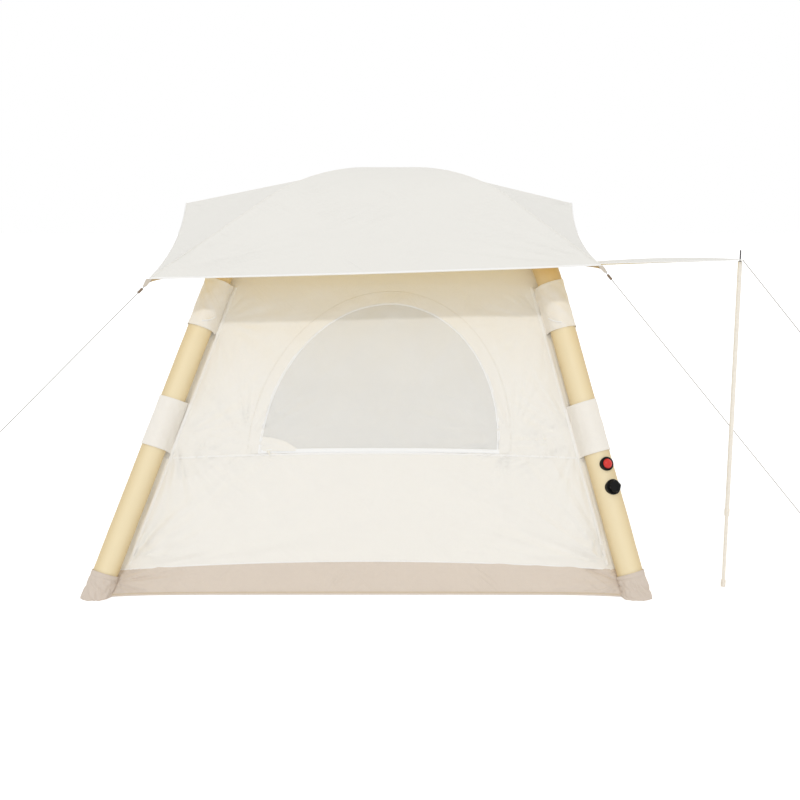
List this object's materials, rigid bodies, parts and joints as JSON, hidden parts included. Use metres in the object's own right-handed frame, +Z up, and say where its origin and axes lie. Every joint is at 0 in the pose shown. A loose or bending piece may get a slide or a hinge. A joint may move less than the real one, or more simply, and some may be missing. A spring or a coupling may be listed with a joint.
{
  "type": "inflatable tent",
  "caption": "Square inflatable tent: leaning air beams joined at a crown hub, arched mesh window, open doorway, draped fly, and a triangular awning held out by a telescoping pole.",
  "frame": {"origin": "centre of the square base, on the ground under the groundsheet", "axes": "+Z up; the front wall with its arched window faces -Y; the doorway and the awning are on the +X side, to which the standing tent leans by 55 mm per metre of height, as in the picture"},
  "size_m": [3.4924, 2.594, 1.8108],
  "materials": {
    "beam_skin": "smooth coated fabric, satin",
    "cream_cloth": "plain woven polyester, matt",
    "fly_cloth": "plain woven polyester with a tan back, matt",
    "taupe_cloth": "heavier coated cloth, matt",
    "window_mesh": "fine insect mesh",
    "zip_band": "sewn tape with a zip",
    "webbing": "woven webbing",
    "cord": "braided guy cord",
    "black_plastic": "moulded, satin",
    "red_plastic": "moulded, glossy",
    "brown_plastic": "moulded, satin",
    "cream_steel": "powder coated steel tube, satin",
    "cream_plastic": "moulded, satin",
    "dark_steel": "dark coated steel",
    "bright_steel": "bare wire and stamped metal"
  },
  "bodies": {
    "tent": {"beam_front_left": "beam_skin", "beam_front_right": "beam_skin", "beam_rear_right": "beam_skin", "beam_rear_left": "beam_skin", "crown_hub": "beam_skin", "mid_sleeve_front_left": "cream_cloth", "mid_sleeve_front_right": "cream_cloth", "mid_sleeve_rear_right": "cream_cloth", "mid_sleeve_rear_left": "cream_cloth", "upper_sleeve_front_left": "cream_cloth", "upper_sleeve_front_right": "cream_cloth", "upper_sleeve_rear_right": "cream_cloth", "upper_sleeve_rear_left": "cream_cloth", "boot_front_left": "taupe_cloth", "boot_front_right": "taupe_cloth", "boot_rear_right": "taupe_cloth", "boot_rear_left": "taupe_cloth", "groundsheet": "taupe_cloth", "front_wall": "cream_cloth", "rear_wall": "cream_cloth", "left_wall": "cream_cloth", "right_wall": "cream_cloth", "front_skirt": "taupe_cloth", "rear_skirt": "taupe_cloth", "left_skirt": "taupe_cloth", "right_skirt": "taupe_cloth", "front_window_mesh": "window_mesh", "rear_window_mesh": "window_mesh", "front_window_binding": "zip_band", "rear_window_binding": "zip_band", "door_binding": "zip_band", "rolled_door": "cream_cloth", "door_tie_1": "webbing", "door_tie_2": "webbing", "ceiling": "cream_cloth", "fly": "fly_cloth", "awning": "fly_cloth", "corner_tab_left": "webbing", "corner_tab_right": "webbing", "awning_eyelet": "bright_steel", "guy_line_left": "cord", "guy_line_right": "cord", "guy_line_pole": "cord", "peg_hook_left": "bright_steel", "peg_hook_right": "bright_steel", "peg_hook_pole": "bright_steel", "relief_valve_body": "black_plastic", "inflation_valve_body": "black_plastic", "inflation_valve_flap": "black_plastic"},
    "relief_button": {"relief_valve_button": "red_plastic"},
    "inflation_cap": {"inflation_valve_cap": "black_plastic"},
    "pole_top": {"pole_upper_tube": "cream_steel", "pole_spike": "dark_steel", "pole_clamp": "cream_plastic"},
    "pole_bottom": {"pole_lower_tube": "cream_steel", "pole_foot": "cream_plastic"},
    "zip_slider": {"window_zip_slider": "bright_steel"},
    "runner_left": {"guy_runner_left": "brown_plastic"},
    "runner_right": {"guy_runner_right": "brown_plastic"}
  },
  "joints": [
    {"name": "relief_press", "type": "slide", "parent": "tent", "child": "relief_button", "axis": [-0.3227, 0.8729, -0.3658], "range_m": [0, 0.004], "stiffness_N_per_m": 600, "springref_m": -0.003},
    {"name": "cap_turn", "type": "hinge", "parent": "tent", "child": "inflation_cap", "pos_m": [1.03466, -1.01079, 0.434], "axis": [0.3227, -0.8729, 0.3658], "range_deg": [0, 90]},
    {"name": "pole_swing", "type": "hinge", "parent": "tent", "child": "pole_top", "pos_m": [1.553, -1.03, 1.416], "axis": [0, 1, 0], "range_deg": [-10, 10]},
    {"name": "pole_shorten", "type": "slide", "parent": "pole_top", "child": "pole_bottom", "axis": [0, 0, 1], "range_m": [0, 0.25]},
    {"name": "zip_run", "type": "slide", "parent": "tent", "child": "zip_slider", "axis": [1, 0, 0], "range_m": [0, 0.96]},
    {"name": "runner_left_slide", "type": "slide", "parent": "tent", "child": "runner_left", "axis": [-0.6408, -0.3751, -0.6698], "range_m": [0, 0.35]},
    {"name": "runner_right_slide", "type": "slide", "parent": "tent", "child": "runner_right", "axis": [0.6471, 0.0576, -0.7602], "range_m": [0, 0.35]}
  ]
}
